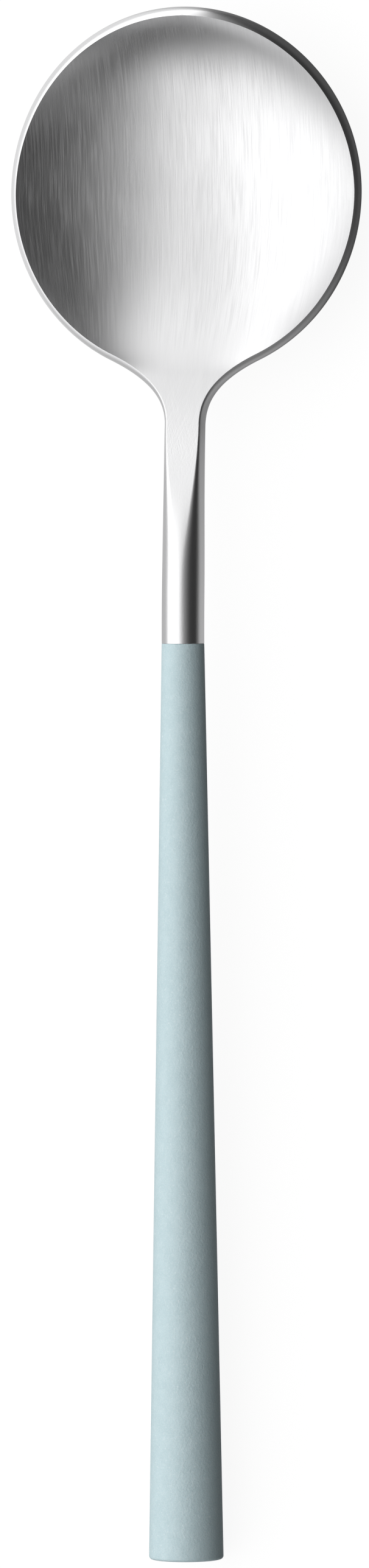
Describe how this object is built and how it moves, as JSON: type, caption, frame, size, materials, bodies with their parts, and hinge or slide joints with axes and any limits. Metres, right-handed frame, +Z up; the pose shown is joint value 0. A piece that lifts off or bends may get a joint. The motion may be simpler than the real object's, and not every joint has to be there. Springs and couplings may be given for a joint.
{
  "type": "tablespoon",
  "caption": "Slim table spoon with an oval brushed steel bowl, a neck that turns from flat to round, and a tapered matte resin handle glued on a hidden tang.",
  "frame": {"origin": "on the table, under the middle of the spoon's length, with the spoon on its back", "axes": "+Y along the spoon from the butt of the handle to the tip of the bowl, +Z up out of the bowl, X across the bowl"},
  "size_m": [0.048, 0.21, 0.0123],
  "materials": {
    "steel": "brushed along the bowl, polished rim, satin neck",
    "adhesive": "cured, slightly cloudy",
    "resin": "matte, finely sanded"
  },
  "bodies": {
    "root": {"spoon_head": "steel", "bond": "adhesive", "handle": "resin"}
  },
  "joints": []
}
